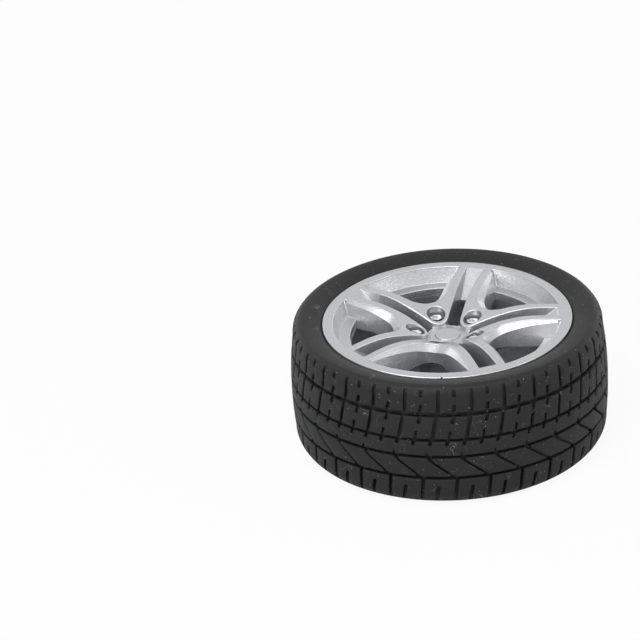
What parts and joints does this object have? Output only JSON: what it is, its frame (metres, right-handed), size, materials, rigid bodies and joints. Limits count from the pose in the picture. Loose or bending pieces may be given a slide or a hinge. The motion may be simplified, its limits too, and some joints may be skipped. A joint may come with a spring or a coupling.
{
  "type": "rubber wheel",
  "caption": "Rubber-tyred wheel with an asymmetric road tread, a silver rim of twin spokes, a push-in centre cap and a 12 mm hex drive at the back.",
  "frame": {"origin": "on the axle, in the plane of the back sidewall that the wheel lies on", "axes": "+Z along the axle towards the face; +X through the middle of one twin spoke"},
  "size_m": [0.065, 0.065, 0.0265],
  "materials": {
    "tyre_rubber": "matte charcoal rubber",
    "rim_plastic": "satin silver metallic plastic",
    "cap_plastic": "satin silver metallic plastic",
    "nut_plating": "bright plating",
    "sponge": "open-cell sponge"
  },
  "bodies": {
    "root": {"tyre": "tyre_rubber", "rim": "rim_plastic", "centre_cap": "cap_plastic", "lug_nuts": "nut_plating", "foam_insert": "sponge"}
  },
  "joints": []
}
